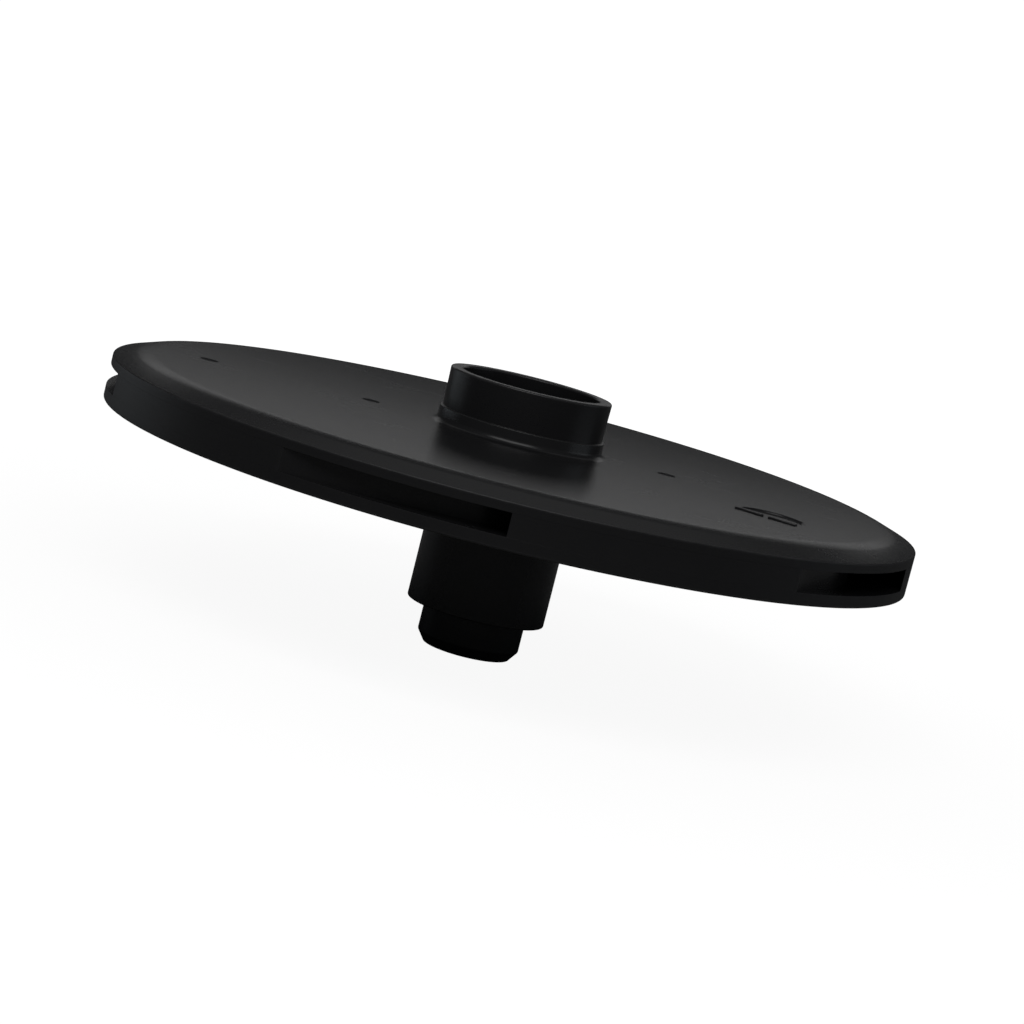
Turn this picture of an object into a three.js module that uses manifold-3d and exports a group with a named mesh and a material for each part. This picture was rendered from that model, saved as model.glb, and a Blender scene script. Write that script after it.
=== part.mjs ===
// Closed centrifugal pump impeller, moulded in black plastic, with a threaded metal shaft insert.
// Millimetres, +Z up through the suction eye. The origin is the centre of the hub's end face.

import * as THREE from 'three';
import * as BufferGeometryUtils from 'three/addons/utils/BufferGeometryUtils.js';
import Module from 'manifold-3d';

const wasm = await Module();
wasm.setup();

// ---- driving dimensions ----

const RIM_RADIUS = 63.5; // 5 inch disc
const VANE_COUNT = 5;
const TURN_SEGMENTS = 72;
const BORE_SEGMENTS = 48;

// heights above the hub's end face
const CHAMFER_TOP = 1.65;
const SHOULDER_HEIGHT = 6.4;
const REAR_FACE_HEIGHT = 26.1;
const PASSAGE_FLOOR_HEIGHT = 28.0;
const PASSAGE_ROOF_HEIGHT = 31.4;
const RIM_TOP_HEIGHT = 32.8;
const FRONT_FACE_HEIGHT = 34.35;
const LEDGE_HEIGHT = 36.7;
const COLLAR_TOP_HEIGHT = 42.9;

// hub, on the motor side
const HUB_RADIUS = 10.9;
const SEAL_LAND_RADIUS = 8.05; // takes a 5/8 inch shaft seal
const HUB_END_RADIUS = 6.85;
const SHAFT_CLEARANCE_RADIUS = 5.75;
const HUB_FILLET = 1.2;

// eye collar, on the suction side
const COLLAR_RADIUS = 12.8;
const COLLAR_WAIST_RADIUS = 12.65;
const LEDGE_RADIUS = 13.05;
const EYE_RADIUS = 10.85;
const EYE_LIP = 0.35;
const COLLAR_ROOT_FILLET = 1.8;

// front shroud's sloping edge: a cone under a soft round
const CONE_TOP_RADIUS = 60.1;
const CONE_TOP_HEIGHT = 33.9;
const ROUND_MIDDLE_RADIUS = 58.8;
const ROUND_MIDDLE_HEIGHT = 34.24;
const FLAT_RADIUS = 57.4;

// nose that closes the hub inside the eye
const NOSE_RADIUS = 7.2;
const NOSE_HEIGHT = 33.6;
const NOSE_ROOT_SPREAD = 1.6;
const NOSE_ROOT_RISE = 1.2;
const NOSE_SHOULDER_SHARE = 0.82; // of the nose's radius
const NOSE_SHOULDER_DROP = 1.9;
const NOSE_CROWN_SHARE = 0.5;
const NOSE_CROWN_DROP = 0.5;

// threaded insert, moulded into the hub
const INSERT_RADIUS = 8.0;
const INSERT_BORE_RADIUS = 5.25; // between the crests and roots of a 7/16-20 thread
const INSERT_BOTTOM = 7.5;
const INSERT_TOP = 26.8;
const INSERT_GROOVE_RADIUS = 7.2;
const INSERT_GROOVE_HALF = 1.4;
const INSERT_CHAMFER = 0.5;
const PILOT_RADIUS = 4.9;
const PILOT_TOP = 29.6;
const PILOT_CONE = 1.5;
const CLEARANCE = 0.3;

// vanes: the passage leaves the rim at a shallow angle and steepens towards the eye
const VANE_INNER_RADIUS = 12.6;
const RIM_FLOW_ANGLE = 13.5; // degrees to the tangent
const EYE_FLOW_ANGLE = 40;
const RIM_PASSAGE_WIDTH = 9.05;
const EYE_PASSAGE_WIDTH = 7;
const OUTLET_ANGLE = 30.8; // degrees of the rim that a passage opens
const HEEL_RADIUS = 61.2; // outside this, the vane's heel runs straight out to the rim
const TIP_ANGLE = -88.7; // where the first vane's thin tip meets the rim, from +X towards +Y
const LEADING_EDGE_BULGE = 0.9;
const LEADING_EDGE_SHARES = [0.15, 0.5, 0.85]; // of the way across the edge
const WALL_STEPS = 16;
const RIM_STEPS = 8;
const SWEEP_STEPS = 400;
const SEAM_GAP = 0.02; // the vanes are bonded to both discs

// moulding marks in the front face
const PIN_MARK_RADIUS = 1.5;
const PIN_MARK_DEPTH = 0.35;
const PIN_MARK_PLACES = [[-49.4, 0], [-23.6, 0], [23.6, 0]];
const DATE_MARK_RADIUS = 4.9;
const DATE_MARK_DEPTH = 0.35;
const DATE_MARK_PLACE = [39.5, -18.9];
const DATE_MARK_TURN = -22; // degrees
const DATE_BAR_LENGTH = 4.4;
const DATE_BAR_WIDTH = 1.1;
const DATE_BAR_GAP = 1.0;
const DATE_BAR_RISE = 0.28; // above the front face
const DATE_BAR_SHIFT = 3.3; // from the mark's centre, towards the rim
const MARK_SEGMENTS = 24;
const CUTTER_OVERRUN = 1;

// ---- materials ----

const shroudPlastic = () => new THREE.MeshStandardMaterial({
  color: 0x1d1d20,
  roughness: 0.45,
  metalness: 0,
});

const insertBrass = () => new THREE.MeshStandardMaterial({
  color: 0xb08a4a,
  roughness: 0.35,
  metalness: 1,
});

// ---- solids ----

function toSolid(geometry) {
  const bare = geometry.clone();
  bare.deleteAttribute('normal');
  bare.deleteAttribute('uv');
  const merged = BufferGeometryUtils.mergeVertices(bare, 1e-4);
  const corners = merged.index.array;
  const triangles = [];
  for (let i = 0; i < corners.length; i += 3) {
    const [a, b, c] = [corners[i], corners[i + 1], corners[i + 2]];
    const isThin = a === b || b === c || c === a;
    if (!isThin) triangles.push(a, b, c);
  }
  return new wasm.Manifold(new wasm.Mesh({
    numProp: 3,
    vertProperties: new Float32Array(merged.attributes.position.array),
    triVerts: new Uint32Array(triangles),
  }));
}

function toGeometry(solid) {
  const mesh = solid.getMesh();
  const geometry = new THREE.BufferGeometry();
  geometry.setAttribute('position', new THREE.BufferAttribute(mesh.vertProperties, 3));
  geometry.setIndex(new THREE.BufferAttribute(mesh.triVerts, 1));
  geometry.computeVertexNormals();
  return geometry;
}

// A profile of [radius, height] points, turned about Z. Seen with the axis on the left,
// it runs counter-clockwise round the material.
function turned(profile, segments) {
  const points = profile.map(([radius, height]) => new THREE.Vector2(radius, height));
  const geometry = new THREE.LatheGeometry(points, segments);
  geometry.rotateX(Math.PI / 2);
  return geometry;
}

// Points of a round corner about a centre, from one angle to another in degrees.
function corner(centreRadius, centreHeight, size, from, to, steps) {
  const points = [];
  for (let i = 0; i <= steps; i += 1) {
    const angle = THREE.MathUtils.degToRad(from + (to - from) * i / steps);
    points.push([centreRadius + size * Math.cos(angle), centreHeight + size * Math.sin(angle)]);
  }
  return points;
}

function named(name, geometry, material) {
  const mesh = new THREE.Mesh(geometry, material);
  mesh.name = name;
  return mesh;
}

// A short upright cylinder that cuts a mark of the given depth into the front face.
function markCutter([x, y], radius, depth) {
  const length = depth + CUTTER_OVERRUN;
  const cutter = new THREE.CylinderGeometry(radius, radius, length, MARK_SEGMENTS);
  cutter.rotateX(Math.PI / 2);
  cutter.translate(x, y, FRONT_FACE_HEIGHT + (CUTTER_OVERRUN - depth) / 2);
  return toSolid(cutter);
}

// ---- front shroud, with the eye collar ----

function frontShroud() {
  const rootCentreRadius = LEDGE_RADIUS + COLLAR_ROOT_FILLET;
  const rootCentreHeight = FRONT_FACE_HEIGHT + COLLAR_ROOT_FILLET;
  const profile = [
    [EYE_RADIUS + EYE_LIP, PASSAGE_ROOF_HEIGHT],
    [RIM_RADIUS, PASSAGE_ROOF_HEIGHT],
    [RIM_RADIUS, RIM_TOP_HEIGHT],
    [CONE_TOP_RADIUS, CONE_TOP_HEIGHT],
    [ROUND_MIDDLE_RADIUS, ROUND_MIDDLE_HEIGHT],
    [FLAT_RADIUS, FRONT_FACE_HEIGHT],
    ...corner(rootCentreRadius, rootCentreHeight, COLLAR_ROOT_FILLET, 270, 180, 4),
    [LEDGE_RADIUS, LEDGE_HEIGHT],
    [COLLAR_WAIST_RADIUS, LEDGE_HEIGHT],
    [COLLAR_RADIUS, COLLAR_TOP_HEIGHT - EYE_LIP],
    [COLLAR_RADIUS - EYE_LIP, COLLAR_TOP_HEIGHT],
    [EYE_RADIUS + EYE_LIP, COLLAR_TOP_HEIGHT],
    [EYE_RADIUS, COLLAR_TOP_HEIGHT - EYE_LIP],
    [EYE_RADIUS, PASSAGE_ROOF_HEIGHT + EYE_LIP],
    [EYE_RADIUS + EYE_LIP, PASSAGE_ROOF_HEIGHT],
  ];
  let solid = toSolid(turned(profile, TURN_SEGMENTS));
  for (const place of PIN_MARK_PLACES) {
    solid = solid.subtract(markCutter(place, PIN_MARK_RADIUS, PIN_MARK_DEPTH));
  }
  solid = solid.subtract(markCutter(DATE_MARK_PLACE, DATE_MARK_RADIUS, DATE_MARK_DEPTH));
  for (const side of [-1, 1]) {
    solid = solid.add(dateBar(side));
  }
  return named('front_shroud', toGeometry(solid), shroudPlastic());
}

// One of two short raised bars at the rim side of the round date mark.
function dateBar(side) {
  const [x, y] = DATE_MARK_PLACE;
  const height = DATE_MARK_DEPTH + DATE_BAR_RISE + SEAM_GAP;
  const bar = new THREE.BoxGeometry(DATE_BAR_LENGTH, DATE_BAR_WIDTH, height);
  bar.translate(side * (DATE_BAR_LENGTH + DATE_BAR_GAP) / 2, -DATE_BAR_SHIFT, 0);
  bar.rotateZ(THREE.MathUtils.degToRad(DATE_MARK_TURN));
  bar.translate(x, y, FRONT_FACE_HEIGHT + DATE_BAR_RISE - height / 2);
  return toSolid(bar);
}

// ---- rear shroud, with the hub and the nose ----

function rearShroud() {
  const socketRadius = INSERT_RADIUS + CLEARANCE;
  const filletCentreRadius = HUB_RADIUS + HUB_FILLET;
  const filletCentreHeight = REAR_FACE_HEIGHT - HUB_FILLET;
  const profile = [
    [0, PILOT_TOP],
    [PILOT_RADIUS, PILOT_TOP - PILOT_CONE],
    [PILOT_RADIUS, INSERT_TOP + CLEARANCE],
    [socketRadius, INSERT_TOP + CLEARANCE],
    [socketRadius, INSERT_BOTTOM - CLEARANCE],
    [SHAFT_CLEARANCE_RADIUS, INSERT_BOTTOM - CLEARANCE],
    [SHAFT_CLEARANCE_RADIUS, CLEARANCE],
    [SHAFT_CLEARANCE_RADIUS + CLEARANCE, 0],
    [HUB_END_RADIUS, 0],
    [SEAL_LAND_RADIUS, CHAMFER_TOP],
    [SEAL_LAND_RADIUS, SHOULDER_HEIGHT],
    [HUB_RADIUS - CLEARANCE, SHOULDER_HEIGHT],
    [HUB_RADIUS, SHOULDER_HEIGHT + CLEARANCE],
    ...corner(filletCentreRadius, filletCentreHeight, HUB_FILLET, 180, 90, 3),
    [RIM_RADIUS, REAR_FACE_HEIGHT],
    [RIM_RADIUS, PASSAGE_FLOOR_HEIGHT],
    [NOSE_RADIUS + NOSE_ROOT_SPREAD, PASSAGE_FLOOR_HEIGHT],
    [NOSE_RADIUS, PASSAGE_FLOOR_HEIGHT + NOSE_ROOT_RISE],
    [NOSE_RADIUS * NOSE_SHOULDER_SHARE, NOSE_HEIGHT - NOSE_SHOULDER_DROP],
    [NOSE_RADIUS * NOSE_CROWN_SHARE, NOSE_HEIGHT - NOSE_CROWN_DROP],
    [0, NOSE_HEIGHT],
  ];
  return named('rear_shroud', toGeometry(toSolid(turned(profile, TURN_SEGMENTS))), shroudPlastic());
}

// ---- vanes ----

// How far along from the eye to the rim a radius lies, from 0 to 1.
function outwards(radius) {
  return (radius - VANE_INNER_RADIUS) / (RIM_RADIUS - VANE_INNER_RADIUS);
}

function flowAngle(radius) {
  const degrees = THREE.MathUtils.lerp(EYE_FLOW_ANGLE, RIM_FLOW_ANGLE, outwards(radius));
  return THREE.MathUtils.degToRad(degrees);
}

// The angle that a spiral wall turns through between the rim and a radius.
function sweep(radius) {
  const step = (RIM_RADIUS - radius) / SWEEP_STEPS;
  let angle = 0;
  for (let i = 0; i < SWEEP_STEPS; i += 1) {
    const middle = radius + (i + 0.5) * step;
    angle += step / (middle * Math.tan(flowAngle(middle)));
  }
  return angle;
}

// The angle that a passage takes up at a radius.
function passageAngle(radius) {
  const width = THREE.MathUtils.lerp(EYE_PASSAGE_WIDTH, RIM_PASSAGE_WIDTH, outwards(radius));
  return width / (radius * Math.sin(flowAngle(radius)));
}

function polar(radius, angle) {
  return new THREE.Vector2(radius * Math.cos(angle), radius * Math.sin(angle));
}

function vane(number) {
  const pitch = 2 * Math.PI / VANE_COUNT;
  const tip = THREE.MathUtils.degToRad(TIP_ANGLE) + pitch * (number - 1);
  const heel = tip + pitch - THREE.MathUtils.degToRad(OUTLET_ANGLE);
  const points = [];
  // the face over the passage, from the thin tip in to the eye
  for (let i = 0; i <= WALL_STEPS; i += 1) {
    const radius = THREE.MathUtils.lerp(RIM_RADIUS, VANE_INNER_RADIUS, i / WALL_STEPS);
    points.push(polar(radius, tip + sweep(radius)));
  }
  // the round leading edge
  const overAngle = tip + sweep(VANE_INNER_RADIUS);
  const underAngle = tip + pitch - passageAngle(VANE_INNER_RADIUS) + sweep(VANE_INNER_RADIUS);
  for (const share of LEADING_EDGE_SHARES) {
    const radius = VANE_INNER_RADIUS - LEADING_EDGE_BULGE * Math.sin(Math.PI * share);
    points.push(polar(radius, THREE.MathUtils.lerp(overAngle, underAngle, share)));
  }
  // the face that the next passage leaves along, from the eye out to the heel
  for (let i = WALL_STEPS; i >= 0; i -= 1) {
    const radius = THREE.MathUtils.lerp(HEEL_RADIUS, VANE_INNER_RADIUS, i / WALL_STEPS);
    points.push(polar(radius, tip + pitch - passageAngle(radius) + sweep(radius)));
  }
  points.push(polar(RIM_RADIUS, heel));
  // the outer face, flush with the discs
  for (let i = 1; i < RIM_STEPS; i += 1) {
    points.push(polar(RIM_RADIUS, THREE.MathUtils.lerp(heel, tip, i / RIM_STEPS)));
  }
  const height = PASSAGE_ROOF_HEIGHT - PASSAGE_FLOOR_HEIGHT - 2 * SEAM_GAP;
  const geometry = new THREE.ExtrudeGeometry(new THREE.Shape(points), {
    depth: height,
    bevelEnabled: false,
  });
  geometry.translate(0, 0, PASSAGE_FLOOR_HEIGHT + SEAM_GAP);
  return named(`vane_${number}`, toGeometry(toSolid(geometry)), shroudPlastic());
}

// ---- threaded insert ----

function threadedInsert() {
  const middle = (INSERT_BOTTOM + INSERT_TOP) / 2;
  const profile = [
    [INSERT_BORE_RADIUS + INSERT_CHAMFER, INSERT_BOTTOM],
    [INSERT_RADIUS - INSERT_CHAMFER, INSERT_BOTTOM],
    [INSERT_RADIUS, INSERT_BOTTOM + INSERT_CHAMFER],
    [INSERT_RADIUS, middle - INSERT_GROOVE_HALF],
    [INSERT_GROOVE_RADIUS, middle - INSERT_GROOVE_HALF],
    [INSERT_GROOVE_RADIUS, middle + INSERT_GROOVE_HALF],
    [INSERT_RADIUS, middle + INSERT_GROOVE_HALF],
    [INSERT_RADIUS, INSERT_TOP - INSERT_CHAMFER],
    [INSERT_RADIUS - INSERT_CHAMFER, INSERT_TOP],
    [INSERT_BORE_RADIUS, INSERT_TOP],
    [INSERT_BORE_RADIUS, INSERT_BOTTOM + INSERT_CHAMFER],
    [INSERT_BORE_RADIUS + INSERT_CHAMFER, INSERT_BOTTOM],
  ];
  return named('threaded_insert', toGeometry(toSolid(turned(profile, BORE_SEGMENTS))), insertBrass());
}

// ---- assembly ----

const group = new THREE.Group();
group.add(rearShroud());
for (let number = 1; number <= VANE_COUNT; number += 1) {
  group.add(vane(number));
}
group.add(frontShroud());
group.add(threadedInsert());

export default group;
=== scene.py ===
# %% [markdown]
# # A closed pump impeller in Blender
#
# The object is one spare part of a small high-head water pump. Two thin discs, called shrouds,
# hold five spiral vanes between them. Water enters the open collar in the middle, the eye, and
# leaves through narrow slots in the rim. Behind the discs is a stepped hub, with a threaded metal
# insert that screws on to a motor shaft. All of it but the insert is black moulded plastic.
#
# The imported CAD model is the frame: it says where everything is and how large. This lesson makes
# the fine surface: round corners, marks of the mould, a real thread, and the satin of the plastic.

import math

import bmesh
import bpy
from mathutils import Matrix, Quaternion, Vector


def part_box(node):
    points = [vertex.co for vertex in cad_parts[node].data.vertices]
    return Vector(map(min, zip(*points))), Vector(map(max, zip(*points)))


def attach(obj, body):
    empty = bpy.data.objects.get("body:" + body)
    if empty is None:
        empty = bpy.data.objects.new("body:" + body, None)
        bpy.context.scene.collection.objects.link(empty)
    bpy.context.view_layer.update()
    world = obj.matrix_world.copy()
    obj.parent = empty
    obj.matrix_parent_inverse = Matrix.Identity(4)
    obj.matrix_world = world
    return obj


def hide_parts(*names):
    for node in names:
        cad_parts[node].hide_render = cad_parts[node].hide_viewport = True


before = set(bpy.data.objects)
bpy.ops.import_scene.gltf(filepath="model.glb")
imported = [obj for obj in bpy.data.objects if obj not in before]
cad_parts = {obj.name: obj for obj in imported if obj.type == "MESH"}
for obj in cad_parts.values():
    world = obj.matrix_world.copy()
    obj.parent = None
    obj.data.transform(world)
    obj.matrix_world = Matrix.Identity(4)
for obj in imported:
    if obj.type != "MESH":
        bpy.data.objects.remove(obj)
bpy.context.view_layer.update()
print("nodes:", sorted(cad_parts))

# %% [markdown]
# The main sizes come from the frame, so that a change in CAD moves the looks with it. Each box is
# a lowest and a highest corner in metres. What the boxes don't say, such as how wide a bevel is,
# is a named value in millimetres, beside the piece that uses it.

# %% Sizes that the frame gives
MM = 0.001

front_low, front_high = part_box("front_shroud")
rear_low, rear_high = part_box("rear_shroud")
vane_low, vane_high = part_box("vane_1")
insert_low, insert_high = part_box("threaded_insert")

RIM_RADIUS = front_high.x / MM
COLLAR_TOP = front_high.z / MM
PASSAGE_ROOF = front_low.z / MM
HUB_END = rear_low.z / MM
NOSE_TOP = rear_high.z / MM
SEAM = 0.02
PASSAGE_FLOOR = vane_low.z / MM - SEAM
INSERT_BOTTOM = insert_low.z / MM
INSERT_TOP = insert_high.z / MM
INSERT_RADIUS = insert_high.x / MM
print(f"rim radius {RIM_RADIUS:.2f}, passages from {PASSAGE_FLOOR:.2f} to {PASSAGE_ROOF:.2f} mm")

# %% [markdown]
# Nearly every piece is a body of revolution, as if it came off a lathe. A turned body needs only
# half of its cross-section. Each corner of that section is written as radius, height and rounding.
# A vertex bevel rounds the corners while the section is still a line, which costs nothing, and
# one spin then sweeps the line round the shaft's axis. A bevel modifier on the finished body would
# also work, but it can't give each corner its own size.

# %% A helper that turns a section into a body
TURN_STEPS = 288
CORNER_SEGMENTS = 5
MERGE_DISTANCE = 1e-7


def round_corners(bm, corners, verts):
    """Bevels each vertex of a section by its own rounding, largest first."""
    for rounding in sorted({corner[2] for corner in corners}, reverse=True):
        if rounding > 0:
            chosen = [v for v, corner in zip(verts, corners) if corner[2] == rounding]
            bmesh.ops.bevel(
                bm, geom=chosen, offset=rounding * MM, offset_type="OFFSET",
                segments=CORNER_SEGMENTS, profile=0.5, affect="VERTICES", material=-1,
                clamp_overlap=True,
            )


def section(bm, corners, closed):
    """Draws a section in the XZ plane, with the axis at x = 0."""
    verts = [bm.verts.new((radius * MM, 0, height * MM)) for radius, height, _ in corners]
    pairs = list(zip(verts, verts[1:]))
    if closed:
        pairs.append((verts[-1], verts[0]))
    for first, second in pairs:
        bm.edges.new((first, second))
    round_corners(bm, corners, verts)


def turned_body(corners, closed, steps=TURN_STEPS):
    """Returns a bmesh of the section spun once round the Z axis."""
    bm = bmesh.new()
    section(bm, corners, closed)
    bmesh.ops.spin(
        bm, geom=bm.verts[:] + bm.edges[:], cent=(0, 0, 0), axis=(0, 0, 1), dvec=(0, 0, 0),
        angle=2 * math.pi, steps=steps, use_merge=True, use_duplicate=False,
    )
    bmesh.ops.remove_doubles(bm, verts=bm.verts, dist=MERGE_DISTANCE)
    bmesh.ops.recalc_face_normals(bm, faces=bm.faces)
    return bm


def finished_object(name, bm):
    """Makes an object of a bmesh, smooth shaded."""
    for face in bm.faces:
        face.smooth = True
    mesh = bpy.data.meshes.new(name)
    bm.to_mesh(mesh)
    bm.free()
    piece = bpy.data.objects.new(name, mesh)
    bpy.context.scene.collection.objects.link(piece)
    return piece


# %% [markdown]
# Marks of the mould are cut into the finished body. Blender's exact boolean does that cleanly on
# closed meshes. The tool objects are only there for the cut, so they are deleted afterwards, and
# the modifier is applied to leave a plain mesh. Weighted normals then let the large flat faces
# win over the small bevels beside them, so that the flats shade as flats. Corners steeper than
# the steps of a rounded edge are marked sharp, so that no shading bleeds across them.

# %% Helpers that cut, join and shade
SHARP_ANGLE = math.radians(36)
FLAT_WEIGHT = 100


def combine(piece, tool_bm, operation):
    """Cuts or joins a tool into a piece, and leaves a plain mesh."""
    tool = finished_object(piece.name + "_tool", tool_bm)
    modifier = piece.modifiers.new("combine", "BOOLEAN")
    modifier.operation = operation
    modifier.solver = "EXACT"
    modifier.object = tool
    depsgraph = bpy.context.evaluated_depsgraph_get()
    result = bpy.data.meshes.new_from_object(piece.evaluated_get(depsgraph))
    result.name = piece.name
    piece.modifiers.clear()
    piece.data = result
    tool_mesh = tool.data
    bpy.data.objects.remove(tool)
    bpy.data.meshes.remove(tool_mesh)


def mark_sharp(mesh, angle):
    """Marks the edges where two faces meet at more than an angle."""
    bm = bmesh.new()
    bm.from_mesh(mesh)
    for edge in bm.edges:
        if edge.calc_face_angle(0) > angle:
            edge.smooth = False
    bm.to_mesh(mesh)
    bm.free()


def shade_by_area(piece):
    """Gives flat faces flat shading beside their rounded edges."""
    mark_sharp(piece.data, SHARP_ANGLE)
    modifier = piece.modifiers.new("weighted normals", "WEIGHTED_NORMAL")
    modifier.mode = "FACE_AREA"
    modifier.weight = FLAT_WEIGHT
    modifier.keep_sharp = True


# %% [markdown]
# ## Front moulding
#
# The front moulding is the large disc that faces the suction side, with the eye collar in its
# middle. The disc's face is flat, then rolls softly into a sloping edge, which lets the water
# between disc and casing escape. The collar turns inside a ring of the pump casing. Its outside is
# turned to size after moulding, and the tool stops at a small ledge above the root fillet.

# %% Front moulding: the section
RIM_TOP = 32.8
FACE_HEIGHT = 34.35
CONE_TOP_RADIUS = 58.8
LEDGE_HEIGHT = 36.7
LEDGE_RADIUS = 13.05
COLLAR_RADIUS = 12.8
COLLAR_WAIST = 12.65
EYE_RADIUS = 10.85
ROOT_SPREAD = 1.0

front_corners = [
    (EYE_RADIUS, PASSAGE_ROOF, 0.6),
    (RIM_RADIUS, PASSAGE_ROOF, 0.02),
    (RIM_RADIUS, RIM_TOP, 0.15),
    (CONE_TOP_RADIUS, FACE_HEIGHT, 1.5),
    (LEDGE_RADIUS, FACE_HEIGHT, ROOT_SPREAD),
    (LEDGE_RADIUS, LEDGE_HEIGHT, 0.1),
    (COLLAR_WAIST, LEDGE_HEIGHT, 0.08),
    (COLLAR_RADIUS, COLLAR_TOP, 0.3),
    (EYE_RADIUS, COLLAR_TOP, 0.35),
]
front = finished_object("front_moulding", turned_body(front_corners, closed=True))
print("front moulding:", len(front.data.polygons), "faces")

# %% [markdown]
# Ejector pins push the moulding out of its mould and leave shallow round dimples in a line across
# the face. A larger round mark sits nearer the rim, where a changeable stamp was let into the
# mould. Here it is a plain recess with two raised bars and no lettering.

# %% Front moulding: the marks of the mould
PIN_RADIUS = 1.45
PIN_DEPTH = 0.3
PIN_PLACES = [-49.4, -23.6, 23.6]
DISH_LIP = 0.12
STAMP_PLACE = (39.5, -18.9)
STAMP_RADIUS = 4.9
STAMP_DEPTH = 0.35
STAMP_TURN = math.radians(-22)
BAR_LENGTH = 4.4
BAR_WIDTH = 1.1
BAR_GAP = 1.0
BAR_RISE = 0.28
BAR_SHIFT = 3.3
BAR_ROUNDING = 0.15
MARK_STEPS = 48


def dish_tool(radius, depth, place):
    """A shallow dish with a chamfered mouth, to be cut into the front face."""
    mouth = radius + 2 * DISH_LIP
    corners = [
        (0, -depth, 0),
        (radius - DISH_LIP, -depth, 0.15),
        (radius, -DISH_LIP, 0.05),
        (mouth, DISH_LIP, 0),
        (mouth, 1, 0),
        (0, 1, 0),
    ]
    bm = turned_body(corners, closed=False, steps=MARK_STEPS)
    shift = Vector((place[0], place[1], FACE_HEIGHT)) * MM
    bmesh.ops.translate(bm, verts=bm.verts, vec=shift)
    return bm


def bar_tool(side):
    """One raised bar of the stamp, with softened edges."""
    bm = bmesh.new()
    bmesh.ops.create_cube(bm, size=1)
    size = Vector((BAR_LENGTH, BAR_WIDTH, 2 * (BAR_RISE + STAMP_DEPTH))) * MM
    bmesh.ops.scale(bm, verts=bm.verts, vec=size)
    bmesh.ops.bevel(
        bm, geom=bm.edges[:], offset=BAR_ROUNDING * MM, offset_type="OFFSET", segments=3,
        profile=0.5, affect="EDGES", material=-1,
    )
    along = side * (BAR_LENGTH + BAR_GAP) / 2
    middle = Vector((along, -BAR_SHIFT, 0)) * MM
    turn = Matrix.Rotation(STAMP_TURN, 4, "Z")
    place = Vector((*STAMP_PLACE, FACE_HEIGHT - STAMP_DEPTH)) * MM
    matrix = Matrix.Translation(place) @ turn @ Matrix.Translation(middle)
    bmesh.ops.transform(bm, matrix=matrix, verts=bm.verts)
    return bm


for along_face in PIN_PLACES:
    combine(front, dish_tool(PIN_RADIUS, PIN_DEPTH, (along_face, 0)), "DIFFERENCE")
combine(front, dish_tool(STAMP_RADIUS, STAMP_DEPTH, STAMP_PLACE), "DIFFERENCE")
for side in (-1, 1):
    combine(front, bar_tool(side), "UNION")
shade_by_area(front)
print("front moulding with its marks:", len(front.data.polygons), "faces")

# %% [markdown]
# ## Rear moulding
#
# The rear moulding closes the passages from behind. Its hub takes a shaft seal: the seal slides
# up the narrow end, helped by the chamfer, and stops at the shoulder. Inside, the hub holds the
# threaded insert in a socket, below a nose that turns the water outwards. It is one closed
# section from the bore's blind end to the tip of the nose, so one spin makes all of it.

# %% Rear moulding
REAR_FACE = 26.1
HUB_RADIUS = 10.9
HUB_FILLET = 1.2
SHOULDER = 6.4
SEAL_LAND_RADIUS = 8.05
CHAMFER_TOP = 1.65
HUB_END_RADIUS = 6.85
SHAFT_CLEARANCE = 5.75
PILOT_RADIUS = 4.9
PILOT_TOP = 29.6
PILOT_SLOPE = 1.5
NOSE_RADIUS = 7.2
NOSE_FOOT_SPREAD = 0.9
NOSE_SIDE_RADIUS = 0.86 * NOSE_RADIUS
NOSE_SIDE_DROP = 1.6
NOSE_CROWN_RADIUS = 0.4 * NOSE_RADIUS
NOSE_CROWN_DROP = 0.15
GAP = 0.3

rear_corners = [
    (0, PILOT_TOP, 0),
    (PILOT_RADIUS, PILOT_TOP - PILOT_SLOPE, 0.3),
    (PILOT_RADIUS, INSERT_TOP + GAP, 0.1),
    (INSERT_RADIUS + GAP, INSERT_TOP + GAP, 0.2),
    (INSERT_RADIUS + GAP, INSERT_BOTTOM - GAP, 0.2),
    (SHAFT_CLEARANCE, INSERT_BOTTOM - GAP, 0.15),
    (SHAFT_CLEARANCE, HUB_END, 0.35),
    (HUB_END_RADIUS, HUB_END, 0.12),
    (SEAL_LAND_RADIUS, CHAMFER_TOP, 0.15),
    (SEAL_LAND_RADIUS, SHOULDER, 0.1),
    (HUB_RADIUS, SHOULDER, 0.25),
    (HUB_RADIUS, REAR_FACE, HUB_FILLET),
    (RIM_RADIUS, REAR_FACE, 0.3),
    (RIM_RADIUS, PASSAGE_FLOOR, 0.02),
    (NOSE_RADIUS + NOSE_FOOT_SPREAD, PASSAGE_FLOOR, 1.5),
    (NOSE_SIDE_RADIUS, NOSE_TOP - NOSE_SIDE_DROP, 1.8),
    (NOSE_CROWN_RADIUS, NOSE_TOP - NOSE_CROWN_DROP, 1.5),
    (0, NOSE_TOP, 0),
]
rear = finished_object("rear_moulding", turned_body(rear_corners, closed=False))
shade_by_area(rear)
print("rear moulding:", len(rear.data.polygons), "faces")

# %% [markdown]
# ## Vanes
#
# A vane is the wall between two passages. Both of its faces are spirals. The flow leaves the rim
# at a shallow angle to the tangent and meets the eye at a steeper one, and the angle changes
# evenly between the two. Adding up small steps of that angle from the rim inwards gives the
# spiral, with no table of points. The vane is thin at the eye and thick at the rim, where its
# outer face lies flush with both discs and its tip is sharp.

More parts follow.
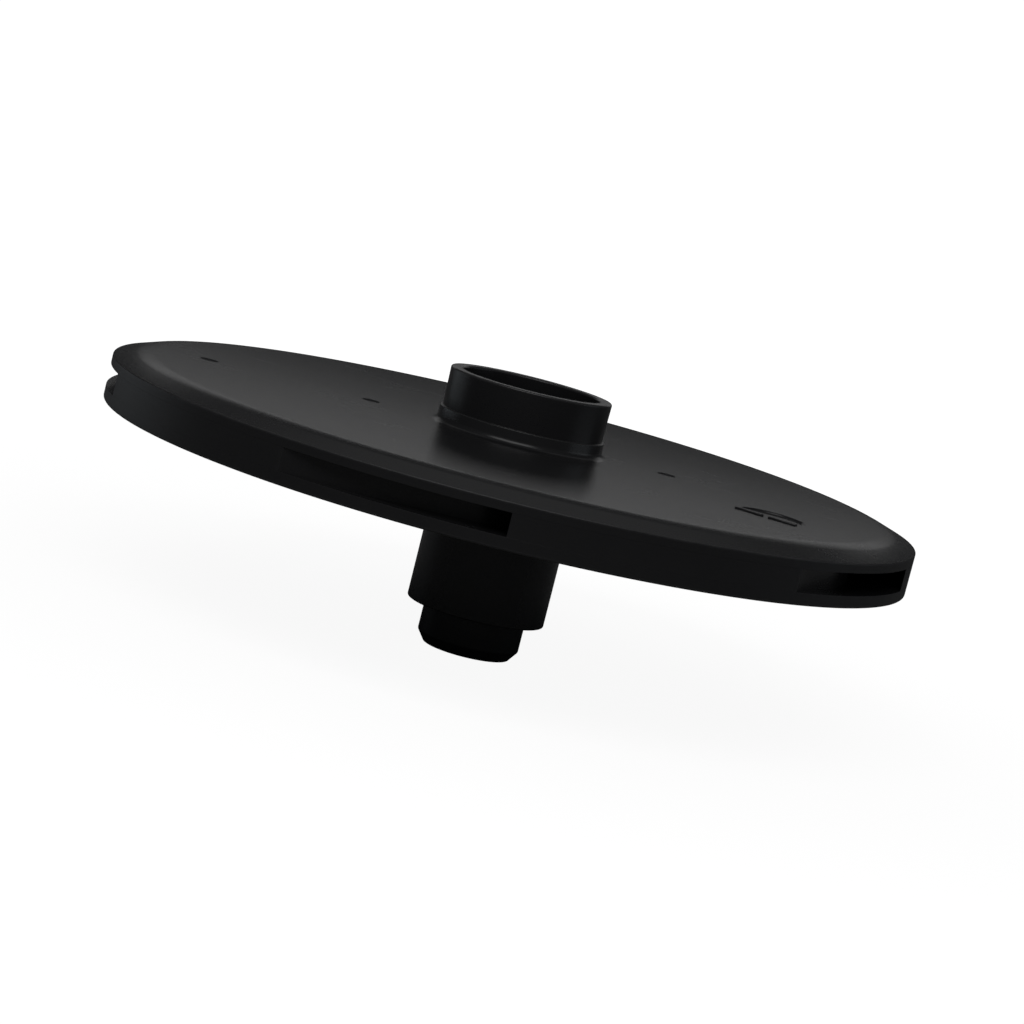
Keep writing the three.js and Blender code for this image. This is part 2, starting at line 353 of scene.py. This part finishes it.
# %% Vanes: the outline
VANE_COUNT = 5
VANE_INNER_RADIUS = 12.6
RIM_FLOW_ANGLE = 13.5
EYE_FLOW_ANGLE = 40
RIM_PASSAGE_WIDTH = 9.05
EYE_PASSAGE_WIDTH = 7
OUTLET_ANGLE = math.radians(30.8)
HEEL_RADIUS = 61.2
FIRST_TIP = math.radians(-88.7)
WALL_STEPS = 64
WALL_PARTS = 8
NOSE_STEPS = 8
NOSE_BULGE = 0.9
PITCH = 2 * math.pi / VANE_COUNT


def mix(at_eye, at_rim, radius):
    """A value that changes evenly from the eye to the rim."""
    share = (radius - VANE_INNER_RADIUS) / (RIM_RADIUS - VANE_INNER_RADIUS)
    return at_eye + (at_rim - at_eye) * share


def flow_angle(radius):
    return math.radians(mix(EYE_FLOW_ANGLE, RIM_FLOW_ANGLE, radius))


def passage_angle(radius):
    """The angle round the axis that a passage takes up at a radius."""
    width = mix(EYE_PASSAGE_WIDTH, RIM_PASSAGE_WIDTH, radius)
    return width / (radius * math.sin(flow_angle(radius)))


def spiral_wall():
    """Radius and turned angle of a wall, from the rim in to the eye."""
    step = (RIM_RADIUS - VANE_INNER_RADIUS) / WALL_STEPS
    wall = [(RIM_RADIUS, 0)]
    for _ in range(WALL_STEPS):
        radius, turned = wall[-1]
        for part in range(WALL_PARTS):
            middle = radius - (part + 0.5) * step / WALL_PARTS
            turned += step / WALL_PARTS / (middle * math.tan(flow_angle(middle)))
        wall.append((radius - step, turned))
    return wall


def vane_outline(tip):
    """Points of a vane as radius and angle, and which of them are corners of the rim face."""
    wall = spiral_wall()
    over = [(radius, tip + turned) for radius, turned in wall]
    under = [(RIM_RADIUS, tip + PITCH - OUTLET_ANGLE)]
    for radius, turned in wall:
        if radius < HEEL_RADIUS:
            under.append((radius, tip + PITCH - passage_angle(radius) + turned))
    nose = []
    for index in range(1, NOSE_STEPS):
        share = index / NOSE_STEPS
        angle = over[-1][1] + (under[-1][1] - over[-1][1]) * share
        nose.append((VANE_INNER_RADIUS - NOSE_BULGE * math.sin(math.pi * share), angle))
    heel_angle = under[0][1]
    arc_steps = round((heel_angle - tip) / (2 * math.pi) * TURN_STEPS)
    arc = []
    for index in range(1, arc_steps):
        arc.append((RIM_RADIUS, heel_angle + (tip - heel_angle) * index / arc_steps))
    points = over + nose + under[::-1] + arc
    heel_index = len(over) + len(nose) + len(under) - 1
    return points, (0, heel_index)


# %% [markdown]
# Each vane is its outline, filled with one face and raised to the roof of the passage. The two
# upright edges at the rim are rounded on the outline first, as a mould's sharp edges always are.
# Where the vane meets the discs its edges stay square, because there the plastic is welded.

# %% Vanes: the solids
TIP_ROUNDING = 0.35


def make_vane(number):
    points, rim_corners = vane_outline(FIRST_TIP + PITCH * (number - 1))
    bm = bmesh.new()
    verts = []
    for radius, angle in points:
        place = Vector((radius * math.cos(angle), radius * math.sin(angle), PASSAGE_FLOOR)) * MM
        verts.append(bm.verts.new(place))
    bm.faces.new(verts)
    bmesh.ops.bevel(
        bm, geom=[verts[index] for index in rim_corners], offset=TIP_ROUNDING * MM,
        offset_type="ABSOLUTE", segments=3, profile=0.5, affect="VERTICES", material=-1,
    )
    floor_face = bm.faces[:][0]
    raised = bmesh.ops.extrude_face_region(bm, geom=[floor_face])["geom"]
    top = [item for item in raised if isinstance(item, bmesh.types.BMVert)]
    bmesh.ops.translate(bm, verts=top, vec=(0, 0, (PASSAGE_ROOF - PASSAGE_FLOOR) * MM))
    bmesh.ops.recalc_face_normals(bm, faces=bm.faces)
    vane = finished_object(f"spiral_vane_{number}", bm)
    shade_by_area(vane)
    return vane


vanes = [make_vane(number) for number in range(1, VANE_COUNT + 1)]
print("vanes:", [vane.name for vane in vanes])

# %% [markdown]
# ## Threaded insert
#
# A plastic thread would strip, so a brass insert is moulded into the hub. Grooves and a straight
# knurl on its outside stop it from turning or pulling out, and a right-hand 7/16-20 thread inside
# takes the shaft. The knurl is made by pushing in every other column of a turned body. The thread
# is cut as a tap would cut it: a threaded rod is spun with a rise on each step, and is then
# taken away from the ring.

# %% Threaded insert: the knurled ring
KNURL_STEPS = 96
KNURL_DEPTH = 0.22
KNURL_SKIN = 0.05
GROOVE_RADIUS = 7.2
GROOVE_HALF = 1.4
THREAD_MAJOR = 5.56
THREAD_MINOR = 4.97
THREAD_PITCH = 1.27
LEAD_DEPTH = 0.9
LEAD_RELIEF = 0.25

groove_middle = (INSERT_BOTTOM + INSERT_TOP) / 2
ring_corners = [
    (THREAD_MINOR, INSERT_BOTTOM + LEAD_DEPTH, 0),
    (THREAD_MAJOR + LEAD_RELIEF, INSERT_BOTTOM, 0.08),
    (INSERT_RADIUS, INSERT_BOTTOM, 0.4),
    (INSERT_RADIUS, groove_middle - GROOVE_HALF, 0),
    (GROOVE_RADIUS, groove_middle - GROOVE_HALF, 0.15),
    (GROOVE_RADIUS, groove_middle + GROOVE_HALF, 0.15),
    (INSERT_RADIUS, groove_middle + GROOVE_HALF, 0),
    (INSERT_RADIUS, INSERT_TOP, 0.4),
    (THREAD_MINOR, INSERT_TOP, 0),
]
ring_bm = turned_body(ring_corners, closed=True, steps=KNURL_STEPS)
for vert in ring_bm.verts:
    radius = math.hypot(vert.co.x, vert.co.y)
    column = round(math.atan2(vert.co.y, vert.co.x) / (2 * math.pi) * KNURL_STEPS)
    if radius > (INSERT_RADIUS - KNURL_SKIN) * MM and column % 2:
        inward = 1 - KNURL_DEPTH * MM / radius
        vert.co.x *= inward
        vert.co.y *= inward
insert = finished_object("threaded_brass_insert", ring_bm)

# %% Threaded insert: the thread
THREAD_STEPS = 40
CREST = 0.37
ROOT = 0.22
ROD_OVERRUN = 0.6
ROD_MERGE_DISTANCE = 1e-6
THREAD_SHARP_ANGLE = math.radians(28)
thread_flank = (THREAD_PITCH - CREST - ROOT) / 2
thread_turns = math.ceil((INSERT_TOP - INSERT_BOTTOM) / THREAD_PITCH) + 3
thread_start = INSERT_BOTTOM - 2 * THREAD_PITCH

rod = bmesh.new()
tooth = [
    (THREAD_MINOR, 0),
    (THREAD_MINOR, CREST),
    (THREAD_MAJOR, CREST + thread_flank),
    (THREAD_MAJOR, CREST + thread_flank + ROOT),
    (THREAD_MINOR, THREAD_PITCH),
]
tooth_verts = [rod.verts.new((r * MM, 0, (thread_start + h) * MM)) for r, h in tooth]
for lower, upper in zip(tooth_verts, tooth_verts[1:]):
    rod.edges.new((lower, upper))
bmesh.ops.spin(
    rod, geom=rod.verts[:] + rod.edges[:], cent=(0, 0, 0), axis=(0, 0, 1),
    dvec=(0, 0, THREAD_PITCH / THREAD_STEPS * MM), angle=2 * math.pi * thread_turns,
    steps=THREAD_STEPS * thread_turns, use_merge=False, use_duplicate=False,
)
bmesh.ops.remove_doubles(rod, verts=rod.verts, dist=ROD_MERGE_DISTANCE)
for height, side in ((INSERT_BOTTOM - ROD_OVERRUN, -1), (INSERT_TOP + ROD_OVERRUN, 1)):
    cut = bmesh.ops.bisect_plane(
        rod, geom=rod.verts[:] + rod.edges[:] + rod.faces[:], dist=1e-8,
        plane_co=(0, 0, height * MM), plane_no=(0, 0, side), clear_outer=True,
    )
    rim_edges = [item for item in cut["geom_cut"] if isinstance(item, bmesh.types.BMEdge)]
    bmesh.ops.edgeloop_fill(rod, edges=rim_edges)
bmesh.ops.recalc_face_normals(rod, faces=rod.faces)
combine(insert, rod, "DIFFERENCE")
mark_sharp(insert.data, THREAD_SHARP_ANGLE)
print("insert:", len(insert.data.polygons), "faces")

# %% [markdown]
# ## Materials
#
# Four effects turn up in more than one material, so each is a node group with named inputs and
# outputs: the fine grain of a spark-eroded mould, the rings that a lathe tool leaves, lighter
# bands at edges, which are worn plastic and a painted highlight, and the smears and dust of
# handling. A group only works out a pattern. Each material
# decides what the pattern does to its colour, roughness or height. All of them read Object
# coordinates, which are the frame's own metres, so a size typed here is a real size.

# %% Helpers for node groups
def new_group(name, inputs, outputs):
    """Makes a node group with float sockets and returns it with its two end nodes."""
    group = bpy.data.node_groups.new(name, "ShaderNodeTree")
    for label, value in inputs:
        socket = group.interface.new_socket(label, in_out="INPUT", socket_type="NodeSocketFloat")
        socket.default_value = value
    for label in outputs:
        group.interface.new_socket(label, in_out="OUTPUT", socket_type="NodeSocketFloat")
    return group, group.nodes.new("NodeGroupInput"), group.nodes.new("NodeGroupOutput")


def calculate(tree, operation, *values, clamp=False):
    """Adds a Math node, fed by numbers or sockets, and returns its result."""
    node = tree.nodes.new("ShaderNodeMath")
    node.operation = operation
    node.use_clamp = clamp
    for socket, value in zip(node.inputs, values):
        if isinstance(value, bpy.types.NodeSocket):
            tree.links.new(value, socket)
        else:
            socket.default_value = value
    return node.outputs[0]


def radius_and_height(tree):
    """Distance from the shaft's axis, height above the hub's end, and the raw position."""
    position = tree.nodes.new("ShaderNodeTexCoord").outputs["Object"]
    parts = tree.nodes.new("ShaderNodeSeparateXYZ")
    tree.links.new(position, parts.inputs[0])
    across = calculate(tree, "MULTIPLY", parts.outputs["X"], parts.outputs["X"])
    along = calculate(tree, "MULTIPLY", parts.outputs["Y"], parts.outputs["Y"])
    radius = calculate(tree, "SQRT", calculate(tree, "ADD", across, along))
    return radius, parts.outputs["Z"], position


def noise(tree, vector, scale, detail, dimensions="3D"):
    node = tree.nodes.new("ShaderNodeTexNoise")
    node.noise_dimensions = dimensions
    node.inputs["Detail"].default_value = detail
    for socket, value in ((node.inputs["Vector"], vector), (node.inputs["Scale"], scale)):
        if isinstance(value, bpy.types.NodeSocket):
            tree.links.new(value, socket)
        else:
            socket.default_value = value
    return node.outputs["Fac"]


# %% Group: mould grain
WAVE_SCALE = 45.0


def make_mould_grain():
    """Fine grain and slow waviness of a moulded face. Grain Size is in metres."""
    tree, start, end = new_group("mould grain", [("Grain Size", 0.0003)], ["Grain", "Waves"])
    position = tree.nodes.new("ShaderNodeTexCoord").outputs["Object"]
    scale = calculate(tree, "DIVIDE", 1.0, start.outputs["Grain Size"])
    tree.links.new(noise(tree, position, scale, 2.0), end.inputs["Grain"])
    tree.links.new(noise(tree, position, WAVE_SCALE, 1.0), end.inputs["Waves"])
    return tree


mould_grain = make_mould_grain()
print(mould_grain.name, "made")

# %% Group: lathe rings
def make_lathe_rings():
    """Rings round the axis. They show along the height of a wall and the radius of a face."""
    tree, start, end = new_group("lathe rings", [("Spacing", 0.0002)], ["Rings"])
    radius, height, _ = radius_and_height(tree)
    where = tree.nodes.new("ShaderNodeCombineXYZ")
    tree.links.new(calculate(tree, "DIVIDE", radius, start.outputs["Spacing"]), where.inputs["X"])
    tree.links.new(calculate(tree, "DIVIDE", height, start.outputs["Spacing"]), where.inputs["Y"])
    tree.links.new(noise(tree, where.outputs[0], 1.0, 3.0, "2D"), end.inputs["Rings"])
    return tree


lathe_rings = make_lathe_rings()
print(lathe_rings.name, "made")

# %% Group: edge band, wear and painted highlight
BREAK_SCALE = 420.0
BREAK_GAIN = 1.6


def make_worn_highlit_edge():
    """A broken band round one circular edge, where handling has polished the plastic. Its lighter
    colour is also a painted highlight, where the edge would catch light.
    """
    inputs = [("Edge Radius", 0.06), ("Edge Height", 0.03), ("Width", 0.0004)]
    tree, start, end = new_group("edge wear and painted highlight", inputs, ["Mask"])
    radius, height, position = radius_and_height(tree)
    off_radius = calculate(tree, "SUBTRACT", radius, start.outputs["Edge Radius"])
    off_height = calculate(tree, "SUBTRACT", height, start.outputs["Edge Height"])
    squares = calculate(
        tree, "ADD",
        calculate(tree, "MULTIPLY", off_radius, off_radius),
        calculate(tree, "MULTIPLY", off_height, off_height),
    )
    share = calculate(tree, "DIVIDE", calculate(tree, "SQRT", squares), start.outputs["Width"])
    band = calculate(tree, "SUBTRACT", 1.0, share, clamp=True)
    broken = noise(tree, position, BREAK_SCALE, 4.0)
    strength = calculate(tree, "MULTIPLY", band, calculate(tree, "MULTIPLY", broken, BREAK_GAIN))
    tree.links.new(calculate(tree, "MINIMUM", strength, 1.0), end.inputs["Mask"])
    return tree


worn_highlit_edge = make_worn_highlit_edge()
print(worn_highlit_edge.name, "made")

# %% Group: handling
SMEAR_SCALE = 70.0
SMEAR_LOW = 0.42
SMEAR_HIGH = 0.68
SPECK_LEVEL = 0.72
SPECK_GAIN = 9.0


def make_handling():
    """Smears from fingers, and fine dust in specks."""
    tree, start, end = new_group("handling", [("Speck Size", 0.0006)], ["Smears", "Dust"])
    position = tree.nodes.new("ShaderNodeTexCoord").outputs["Object"]
    smears = calculate(tree, "SUBTRACT", noise(tree, position, SMEAR_SCALE, 5.0), SMEAR_LOW)
    spread = calculate(tree, "DIVIDE", smears, SMEAR_HIGH - SMEAR_LOW, clamp=True)
    tree.links.new(spread, end.inputs["Smears"])
    speck_scale = calculate(tree, "DIVIDE", 1.0, start.outputs["Speck Size"])
    specks = calculate(tree, "SUBTRACT", noise(tree, position, speck_scale, 1.0), SPECK_LEVEL)
    few = calculate(tree, "MULTIPLY", specks, SPECK_GAIN, clamp=True)
    tree.links.new(few, end.inputs["Dust"])
    return tree


handling = make_handling()
print(handling.name, "made")

# %% [markdown]
# One function makes every black plastic finish, because they are the same plastic and differ only
# in how the surface was left: as moulded, or turned on a lathe. Base colour stays very dark. What
# the eye reads as the shape is the satin reflection, so most of the work is in roughness and in
# heights of a few thousandths of a millimetre.

# %% Materials: black plastic
def use_group(tree, group, **values):
    node = tree.nodes.new("ShaderNodeGroup")
    node.node_tree = group
    for label, value in values.items():
        node.inputs[label.replace("_", " ")].default_value = value
    return node


def blend_colour(tree, share, dark, light):
    node = tree.nodes.new("ShaderNodeMix")
    node.data_type = "RGBA"
    colour_a, colour_b, result = node.inputs[6], node.inputs[7], node.outputs[2]
    tree.links.new(share, node.inputs[0])
    for socket, value in ((colour_a, dark), (colour_b, light)):
        if isinstance(value, bpy.types.NodeSocket):
            tree.links.new(value, socket)
        else:
            socket.default_value = (*value, 1)
    return result


PLASTIC_DARK = (0.0145, 0.0145, 0.0158)
PLASTIC_LIGHT = (0.0165, 0.0165, 0.0178)
# The lighter colour of the edge bands: worn plastic, and a painted highlight where an edge catches
# light.
PLASTIC_WORN_AND_HIGHLIT = (0.045, 0.045, 0.047)
PLASTIC_DUST = (0.09, 0.088, 0.084)
PLASTIC_IOR = 1.5
GRAIN_SIZE = 0.00022
SPECK_SIZE = 0.0005
DUST_SHARE = 0.12
SMEAR_ROUGHNESS = 0.015
GRAIN_ROUGHNESS = 0.04
WAVE_DEPTH = 0.00002


def plastic_finish(name, roughness, grain_depth, ring_depth, ring_spacing, edges):
    """Black plastic. Depths are in metres, edges are (radius, height, width) in millimetres, and
    get lighter bands of wear and painted highlight.
    """
    material = bpy.data.materials.new(name)
    material.use_nodes = True
    tree = material.node_tree
    shader = tree.nodes["Principled BSDF"]
    shader.inputs["IOR"].default_value = PLASTIC_IOR

    grain = use_group(tree, mould_grain, Grain_Size=GRAIN_SIZE)
    touch = use_group(tree, handling, Speck_Size=SPECK_SIZE)
    colour = blend_colour(tree, touch.outputs["Smears"], PLASTIC_DARK, PLASTIC_LIGHT)
    worn_and_highlit = None
    for edge_radius, edge_height, width in edges:
        edge = use_group(tree, worn_highlit_edge, Edge_Radius=edge_radius * MM,
                         Edge_Height=edge_height * MM, Width=width * MM)
        mask = edge.outputs["Mask"]
        worn_and_highlit = mask if worn_and_highlit is None else calculate(tree, "MAXIMUM", worn_and_highlit, mask)
    # Edge bands turn lighter: wear from handling, and a painted highlight.
    colour = blend_colour(tree, worn_and_highlit, colour, PLASTIC_WORN_AND_HIGHLIT)
    dust = calculate(tree, "MULTIPLY", touch.outputs["Dust"], DUST_SHARE)
    colour = blend_colour(tree, dust, colour, PLASTIC_DUST)
    tree.links.new(colour, shader.inputs["Base Color"])

    smear_change = calculate(tree, "MULTIPLY", touch.outputs["Smears"], SMEAR_ROUGHNESS)
    grain_change = calculate(tree, "MULTIPLY", grain.outputs["Grain"], GRAIN_ROUGHNESS)
    change = calculate(tree, "ADD", smear_change, grain_change)
    varied = calculate(tree, "ADD", change, roughness - GRAIN_ROUGHNESS)
    tree.links.new(varied, shader.inputs["Roughness"])

    grain_height = calculate(tree, "MULTIPLY", grain.outputs["Grain"], grain_depth)
    wave_height = calculate(tree, "MULTIPLY", grain.outputs["Waves"], WAVE_DEPTH)
    rings = use_group(tree, lathe_rings, Spacing=ring_spacing)
    ring_height = calculate(tree, "MULTIPLY", rings.outputs["Rings"], ring_depth)
    height = calculate(tree, "ADD", grain_height, wave_height)
    height = calculate(tree, "ADD", height, ring_height)
    bump = tree.nodes.new("ShaderNodeBump")
    bump.inputs["Strength"].default_value = 1.0
    bump.inputs["Distance"].default_value = 1.0
    tree.links.new(height, bump.inputs["Height"])
    tree.links.new(bump.outputs["Normal"], shader.inputs["Normal"])
    return material


# Each finish lists its circular edges, which get lighter bands of wear and painted highlight.
moulded_plastic = plastic_finish(
    "moulded_satin_plastic", roughness=0.275, grain_depth=0.000004, ring_depth=0.000002,
    ring_spacing=0.0009,
    edges=[(HUB_END_RADIUS, HUB_END, 0.5), (HUB_RADIUS, SHOULDER, 0.5)],
)
rim_plastic = plastic_finish(
    "trimmed_rim_plastic", roughness=0.42, grain_depth=0.000004, ring_depth=0.000004,
    ring_spacing=0.0003,
    edges=[(RIM_RADIUS, RIM_TOP, 0.35), (RIM_RADIUS, REAR_FACE, 0.5)],
)
turned_plastic = plastic_finish(
    "turned_collar_plastic", roughness=0.3, grain_depth=0.000002, ring_depth=0.000007,
    ring_spacing=0.00022,
    edges=[(COLLAR_RADIUS, COLLAR_TOP, 0.5), (LEDGE_RADIUS, LEDGE_HEIGHT, 0.35),
           (EYE_RADIUS, COLLAR_TOP, 0.4)],
)
print("plastic finishes:", moulded_plastic.name, rim_plastic.name, turned_plastic.name)

# %% [markdown]
# Brass that has been through a moulding press is dull and uneven. Metallic is the same all over,
# so it is set on the shader's own socket, and the tarnish changes the colour and the roughness.

# %% Materials: brass
BRASS_BRIGHT = (0.72, 0.52, 0.24)
BRASS_TARNISHED = (0.30, 0.20, 0.10)
BRASS_ROUGHNESS = 0.24
TARNISH_ROUGHNESS = 0.25
BRASS_SPECK_SIZE = 0.0004
BRASS_RING_SPACING = 0.00015
BRASS_RING_DEPTH = 0.000005


def brass_finish():
    material = bpy.data.materials.new("machined_brass")
    material.use_nodes = True
    tree = material.node_tree
    shader = tree.nodes["Principled BSDF"]
    shader.inputs["Metallic"].default_value = 1.0
    touch = use_group(tree, handling, Speck_Size=BRASS_SPECK_SIZE)
    colour = blend_colour(tree, touch.outputs["Smears"], BRASS_BRIGHT, BRASS_TARNISHED)
    tree.links.new(colour, shader.inputs["Base Color"])
    change = calculate(tree, "MULTIPLY", touch.outputs["Smears"], TARNISH_ROUGHNESS)
    varied = calculate(tree, "ADD", change, BRASS_ROUGHNESS)
    tree.links.new(varied, shader.inputs["Roughness"])
    rings = use_group(tree, lathe_rings, Spacing=BRASS_RING_SPACING)
    bump = tree.nodes.new("ShaderNodeBump")
    bump.inputs["Strength"].default_value = 1.0
    bump.inputs["Distance"].default_value = BRASS_RING_DEPTH
    tree.links.new(rings.outputs["Rings"], bump.inputs["Height"])
    tree.links.new(bump.outputs["Normal"], shader.inputs["Normal"])
    return material


machined_brass = brass_finish()
insert.data.materials.append(machined_brass)
print("metal finish:", machined_brass.name)

# %% [markdown]
# Each face of a moulding takes the finish that its place calls for. The rim was trimmed, the
# collar and the seal land were turned, and the rest is as it left the mould.

# %% Give each face its finish
FINISHES = [moulded_plastic, rim_plastic, turned_plastic]
MOULDED, TRIMMED, TURNED = range(3)
RIM_BAND = 0.2
COLLAR_BAND = 0.2
BORE_BAND = 0.5
SHOULDER_BAND = 0.05


def finish_of(place):
    """The finish that a face at this place has."""
    radius, height = math.hypot(place.x, place.y) / MM, place.z / MM
    if radius > RIM_RADIUS - RIM_BAND:
        return TRIMMED
    on_collar = height > LEDGE_HEIGHT - COLLAR_BAND and radius > EYE_RADIUS - BORE_BAND
    on_seal_land = height < SHOULDER + SHOULDER_BAND and radius > HUB_END_RADIUS
    return TURNED if on_collar or on_seal_land else MOULDED


for piece in (front, rear, *vanes):
    piece.data.materials.clear()
    for material in FINISHES:
        piece.data.materials.append(material)
    for face in piece.data.polygons:
        face.material_index = finish_of(face.center)
print("finishes given to", 2 + len(vanes), "plastic pieces")

# %% [markdown]
# ## Tie the pieces to the frame
#
# The impeller has no joints, so all of it rides on the one body. The CAD node that each piece
# stands for is hidden.

# %% Ride and replace
for piece, node in ((front, "front_shroud"), (rear, "rear_shroud"), (insert, "threaded_insert")):
    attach(piece, "root")
    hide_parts(node)
for number, vane in enumerate(vanes, start=1):
    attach(vane, "root")
    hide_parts(f"vane_{number}")
print("pieces tied to the frame:", 3 + len(vanes))

# %% [markdown]
# ## Stage and light
#
# The floor and the backdrop are plain and pale. A black part on white is hard to light: what the
# camera sees should be white, but if the plastic mirrored that white the black would turn grey.
# So the world and the floor are bright for the camera and dim for everything else. What is left
# of the world fades from the front to the back, because the low view makes the disc mirror
# whatever stands behind it.

# %% World
BACKDROP_LIGHT = 1.05
FRONT_LIGHT = 0.105
BACK_LIGHT = 0.04
FADE_START = -0.6
FADE_END = 0.5
WORLD_TINT = (0.97, 0.98, 1, 1)


def make_world():
    world = bpy.data.worlds.new("studio")
    world.use_nodes = True
    tree = world.node_tree
    tree.nodes.clear()
    seen = tree.nodes.new("ShaderNodeBackground")
    seen.inputs["Color"].default_value = (1, 1, 1, 1)
    seen.inputs["Strength"].default_value = BACKDROP_LIGHT
    cast = tree.nodes.new("ShaderNodeBackground")
    cast.inputs["Color"].default_value = WORLD_TINT
    direction = tree.nodes.new("ShaderNodeTexCoord").outputs["Generated"]
    parts = tree.nodes.new("ShaderNodeSeparateXYZ")
    fade = tree.nodes.new("ShaderNodeMapRange")
    fade.inputs["From Min"].default_value = FADE_START
    fade.inputs["From Max"].default_value = FADE_END
    fade.inputs["To Min"].default_value = FRONT_LIGHT
    fade.inputs["To Max"].default_value = BACK_LIGHT
    tree.links.new(direction, parts.inputs[0])
    tree.links.new(parts.outputs["Y"], fade.inputs["Value"])
    tree.links.new(fade.outputs["Result"], cast.inputs["Strength"])
    rays = tree.nodes.new("ShaderNodeLightPath")
    mixed = tree.nodes.new("ShaderNodeMixShader")
    end = tree.nodes.new("ShaderNodeOutputWorld")
    tree.links.new(rays.outputs["Is Camera Ray"], mixed.inputs[0])
    tree.links.new(cast.outputs[0], mixed.inputs[1])
    tree.links.new(seen.outputs[0], mixed.inputs[2])
    tree.links.new(mixed.outputs[0], end.inputs["Surface"])
    bpy.context.scene.world = world


make_world()
bpy.context.scene.view_settings.view_transform = "Standard"
print("world:", bpy.context.scene.world.name)

# %% [markdown]
# The floor lies a tenth of a millimetre below the hub's end. Near the part it glows a little less
# than white, which leaves room for a soft shadow. Further out it is as white as the backdrop, so
# no horizon shows.

# %% Floor
FLOOR_SIZE = 6.0
FLOOR_DROP = 0.0001
FLOOR_COLOUR = (0.25, 0.25, 0.25, 1)
FLOOR_ROUGHNESS = 0.9
GLOW_NEAR = 0.93
GLOW_FAR = 1.05
GLOW_START = 0.08
GLOW_END = 0.45


def make_floor():
    bm = bmesh.new()
    bmesh.ops.create_grid(bm, x_segments=4, y_segments=4, size=FLOOR_SIZE / 2)
    bmesh.ops.translate(bm, verts=bm.verts, vec=(0, 0, -FLOOR_DROP))
    floor = finished_object("floor", bm)
    material = bpy.data.materials.new("pale_floor")
    material.use_nodes = True
    tree = material.node_tree
    shader = tree.nodes["Principled BSDF"]
    shader.inputs["Base Color"].default_value = FLOOR_COLOUR
    shader.inputs["Roughness"].default_value = FLOOR_ROUGHNESS
    shader.inputs["Specular IOR Level"].default_value = 0.0
    shader.inputs["Emission Color"].default_value = (1, 1, 1, 1)
    rays = tree.nodes.new("ShaderNodeLightPath")
    place = tree.nodes.new("ShaderNodeTexCoord").outputs["Object"]
    distance = tree.nodes.new("ShaderNodeVectorMath")
    distance.operation = "LENGTH"
    spread = tree.nodes.new("ShaderNodeMapRange")
    spread.inputs["From Min"].default_value = GLOW_START
    spread.inputs["From Max"].default_value = GLOW_END
    spread.inputs["To Min"].default_value = GLOW_NEAR
    spread.inputs["To Max"].default_value = GLOW_FAR
    tree.links.new(place, distance.inputs[0])
    tree.links.new(distance.outputs["Value"], spread.inputs["Value"])
    glow = calculate(tree, "MULTIPLY", rays.outputs["Is Camera Ray"], spread.outputs["Result"])
    tree.links.new(glow, shader.inputs["Emission Strength"])
    floor.data.materials.append(material)
    return floor


floor = make_floor()
print("floor:", floor.name)

# %% [markdown]
# Five soft panels draw the shape. The one that matters most is a narrow strip close behind the
# disc and just above it. Seen in the satin face it is bright at the front, fades towards the back
# and is already out of sight for the sloping edge. The others are weak: one high above the edge,
# one in front for the rim, and a cool one at each side.

# %% Light panels
WHITE = (1, 1, 1)
COOL = (0.86, 0.94, 1.0)
DISC_CENTRE = (0, 0, FACE_HEIGHT * MM)
PANELS = [
    dict(name="back_panel", place=(0, 0.12, 0.073), target=(0, 0, 0.066),
         width=0.18, height=0.024, power=0.0052, colour=WHITE),
    dict(name="top_panel", place=(0, 0.35, 0.85), target=DISC_CENTRE,
         width=1.2, height=0.9, power=0.45, colour=WHITE),
    dict(name="front_panel", place=(-0.1, -0.7, 0.75), target=DISC_CENTRE,
         width=0.9, height=0.5, power=2.2, colour=WHITE),
    dict(name="left_panel", place=(-0.4, 0.2, 0.016), target=(0, 0, 0.02),
         width=0.3, height=0.03, power=0.026, colour=COOL),
    dict(name="right_panel", place=(0.6, 0.05, 0.12), target=DISC_CENTRE,
         width=0.4, height=0.16, power=0.07, colour=COOL),
]


def add_panel(name, place, target, width, height, power, colour):
    """A soft rectangular light at a place in metres, facing a target."""
    data = bpy.data.lights.new(name, "AREA")
    data.shape = "RECTANGLE"
    data.size = width
    data.size_y = height
    data.energy = power
    data.color = colour
    panel = bpy.data.objects.new(name, data)
    panel.location = place
    towards = Vector(target) - Vector(place)
    panel.rotation_mode = "QUATERNION"
    panel.rotation_quaternion = towards.to_track_quat("-Z", "Y")
    bpy.context.scene.collection.objects.link(panel)
    return panel


panels = [add_panel(**panel) for panel in PANELS]
print("lights:", [panel.name for panel in panels])

# %% [markdown]
# ## Camera
#
# The camera looks over the disc at a low angle through a long lens. It is rolled, so that the
# shaft's axis leans in the picture, as it does when the part lies on the edge of its hub and on
# its rim.

# %% Camera
CAMERA_DISTANCE = 7.5
CAMERA_ELEVATION = math.radians(6.612)
CAMERA_ROLL = math.radians(-14.15)
LENS = 108.1
SENSOR_WIDTH = 36
AIM = Vector((1.81, -1.35, 23.0)) * MM


def make_camera():
    data = bpy.data.cameras.new("camera")
    data.lens = LENS
    data.sensor_width = SENSOR_WIDTH
    data.dof.use_dof = False
    camera = bpy.data.objects.new("camera", data)
    away = CAMERA_DISTANCE * RIM_RADIUS * MM
    camera.location = Vector((
        0,
        -away * math.cos(CAMERA_ELEVATION),
        RIM_TOP * MM + away * math.sin(CAMERA_ELEVATION),
    ))
    forward = (AIM - camera.location).normalized()
    level = forward.to_track_quat("-Z", "Y")
    camera.rotation_mode = "QUATERNION"
    camera.rotation_quaternion = Quaternion(forward, CAMERA_ROLL) @ level
    bpy.context.scene.collection.objects.link(camera)
    bpy.context.scene.camera = camera
    return camera


camera = make_camera()
print("camera at", [round(value, 4) for value in camera.location])
